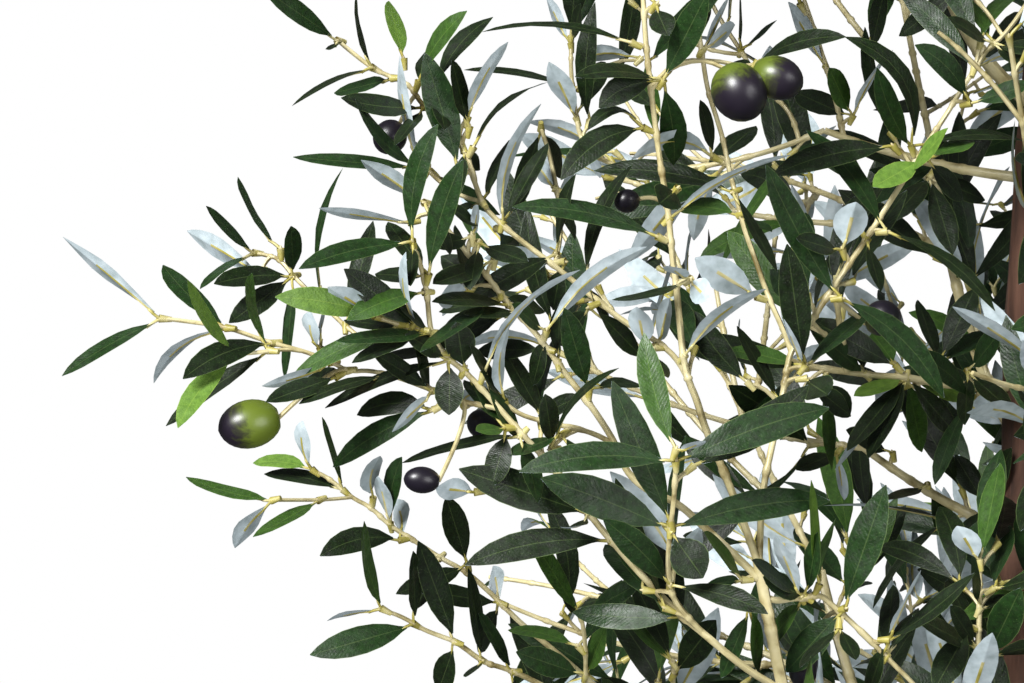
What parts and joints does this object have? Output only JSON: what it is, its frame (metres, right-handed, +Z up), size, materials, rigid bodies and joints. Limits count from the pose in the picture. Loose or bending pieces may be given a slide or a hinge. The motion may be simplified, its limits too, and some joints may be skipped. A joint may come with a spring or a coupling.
{
  "type": "artificial potted olive tree",
  "caption": "Artificial olive tree with a slim brown trunk, cream plastic boughs, dark green and silver leaves and olives, standing in a plain round pot.",
  "frame": {"origin": "middle of the pot's flat underside, where it stands on the floor", "axes": "+Z up the trunk; -Y is the side the picture is taken from, and +X is to the right as seen from there"},
  "size_m": [0.9877, 0.9386, 1.6566],
  "materials": {
    "pot_plastic": "matte",
    "pot_filling": "matte",
    "trunk_wood": "matte",
    "bough_plastic": "satin",
    "foliage": "satin"
  },
  "bodies": {
    "root": {"bough_front_left": "bough_plastic", "bough_left_centre": "bough_plastic", "bough_left_high": "bough_plastic", "bough_left_low": "bough_plastic", "bough_left_mid": "bough_plastic", "bough_low_1": "bough_plastic", "bough_low_2": "bough_plastic", "bough_low_3": "bough_plastic", "bough_low_4": "bough_plastic", "bough_mid_1": "bough_plastic", "bough_mid_2": "bough_plastic", "bough_mid_3": "bough_plastic", "bough_mid_4": "bough_plastic", "bough_top_1": "bough_plastic", "bough_top_2": "bough_plastic", "bough_top_3": "bough_plastic", "foliage_front_left_a": "foliage", "foliage_front_left_b": "foliage", "foliage_leader": "foliage", "foliage_left_centre_a": "foliage", "foliage_left_high_a": "foliage", "foliage_left_low_a": "foliage", "foliage_left_low_b": "foliage", "foliage_left_mid_a": "foliage", "foliage_low_1_a": "foliage", "foliage_low_1_b": "foliage", "foliage_low_2_a": "foliage", "foliage_low_2_b": "foliage", "foliage_low_3_a": "foliage", "foliage_low_3_b": "foliage", "foliage_low_4_a": "foliage", "foliage_low_4_b": "foliage", "foliage_mid_1_a": "foliage", "foliage_mid_1_b": "foliage", "foliage_mid_2_a": "foliage", "foliage_mid_2_b": "foliage", "foliage_mid_3_a": "foliage", "foliage_mid_3_b": "foliage", "foliage_mid_4_a": "foliage", "foliage_mid_4_b": "foliage", "foliage_top_1_a": "foliage", "foliage_top_1_b": "foliage", "foliage_top_2_a": "foliage", "foliage_top_2_b": "foliage", "foliage_top_3_a": "foliage", "foliage_top_3_b": "foliage", "pot": "pot_plastic", "pot_filling": "pot_filling", "trunk": "trunk_wood"}
  },
  "joints": []
}
